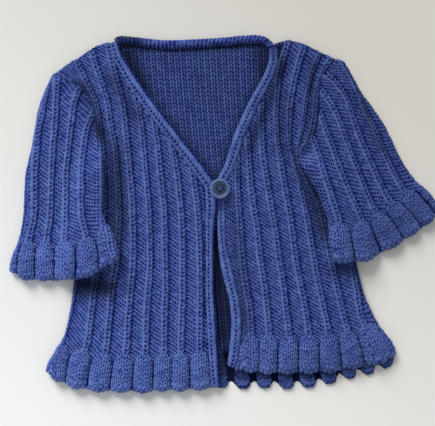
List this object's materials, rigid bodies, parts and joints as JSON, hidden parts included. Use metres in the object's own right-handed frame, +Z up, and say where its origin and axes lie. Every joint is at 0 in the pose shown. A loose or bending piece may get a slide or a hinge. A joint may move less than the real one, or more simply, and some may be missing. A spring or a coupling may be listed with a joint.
{
  "type": "cardigan",
  "caption": "Hand-knitted child's cardigan laid flat: ribbed fronts and back, short bell sleeves, ruffled hem and cuffs, rolled neck and one button at the V.",
  "frame": {"origin": "middle of the garment's bounding box, on the surface it lies on", "axes": "+X to the viewer's right across the garment, +Y from the hem towards the neck, +Z up from the surface"},
  "size_m": [0.3853, 0.3213, 0.0164],
  "materials": {
    "back": "matte knitted yarn, periwinkle blue",
    "front_left": "matte knitted yarn, periwinkle blue",
    "front_right": "matte knitted yarn, periwinkle blue",
    "sleeve_left": "matte knitted yarn, periwinkle blue",
    "sleeve_right": "matte knitted yarn, periwinkle blue",
    "band_left": "matte knitted yarn, periwinkle blue",
    "band_right": "matte knitted yarn, periwinkle blue",
    "band_neck": "matte knitted yarn, periwinkle blue",
    "button": "smoky blue, moulded and polished"
  },
  "bodies": {
    "root": {"back": "back", "front_left": "front_left", "front_right": "front_right", "sleeve_left": "sleeve_left", "sleeve_right": "sleeve_right", "band_left": "band_left", "band_right": "band_right", "band_neck": "band_neck", "button": "button"}
  },
  "joints": []
}
